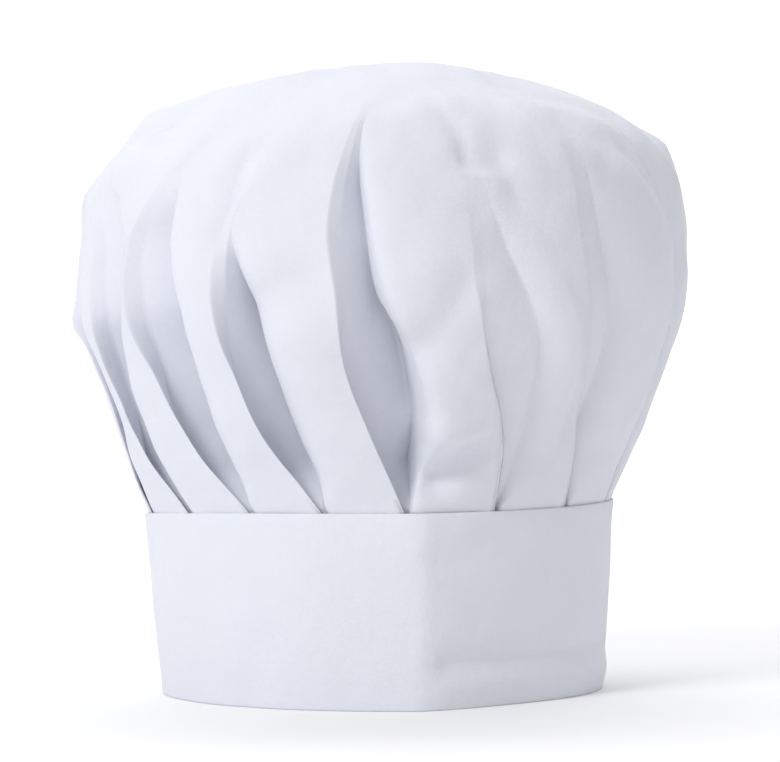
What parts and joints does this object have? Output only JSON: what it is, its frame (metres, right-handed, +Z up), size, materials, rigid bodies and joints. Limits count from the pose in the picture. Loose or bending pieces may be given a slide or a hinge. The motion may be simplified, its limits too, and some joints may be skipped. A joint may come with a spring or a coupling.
{
  "type": "chef cap",
  "caption": "Tall puffed chef's cap of white cotton, with a crown folded into soft knife pleats and sewn into a plain straight headband.",
  "frame": {"origin": "middle of the cap's outline, on the plane of the headband's lower edge that it stands on", "axes": "+Z up through the crown, -Y towards the front that the picture shows, +X towards the picture's right"},
  "size_m": [0.2521, 0.2453, 0.2565],
  "materials": {
    "crown_cotton": "matte",
    "band_cotton": "matte"
  },
  "bodies": {
    "root": {"crown": "crown_cotton", "headband": "band_cotton"}
  },
  "joints": []
}
